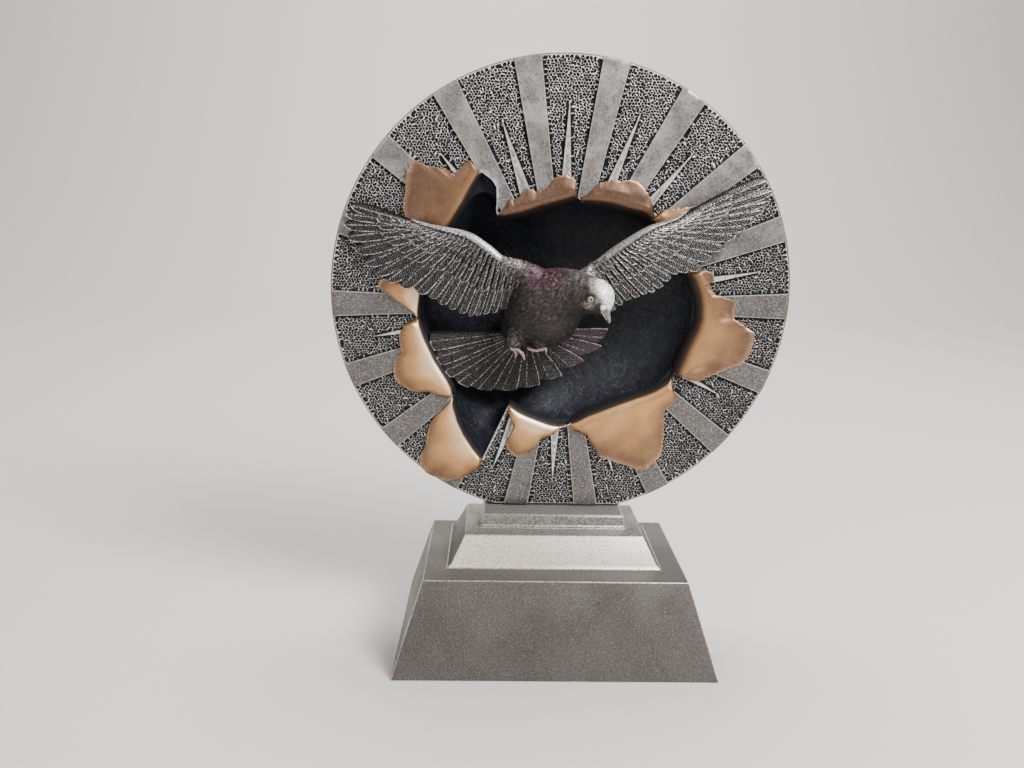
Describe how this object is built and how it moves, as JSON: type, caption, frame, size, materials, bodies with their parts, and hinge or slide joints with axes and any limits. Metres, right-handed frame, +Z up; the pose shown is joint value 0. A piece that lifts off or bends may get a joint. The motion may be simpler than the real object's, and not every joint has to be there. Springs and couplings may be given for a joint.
{
  "type": "trophy",
  "caption": "Sunburst disc torn open around a flying pigeon in high relief, on a stepped plinth with sloping sides, cast in resin and painted as old silver, copper and black",
  "frame": {"origin": "Middle of the footprint of the whole trophy, on the plane that it stands on", "axes": "+Z up, -Y the side with the pigeon, +X to the right of someone who looks at the pigeon"},
  "size_m": [0.15, 0.0674, 0.1918],
  "materials": {
    "pewter_paint": "pewter-coloured paint on cast resin, speckled and rubbed bright on the edges",
    "antique_silver_paint": "antique silver paint on cast resin, black in the hollows and bright on the raised rays and feathers",
    "copper_paint": "satin copper-gold paint on the curled flaps, fading to black at their roots",
    "black_lacquer": "glossy blue-black lacquer inside the bowl",
    "pigeon_paint": "gunmetal paint dry-brushed with silver, a purple tint on neck and breast"
  },
  "bodies": {
    "root": {"plinth": "pewter_paint", "relief_disc": "antique_silver_paint"}
  },
  "joints": []
}
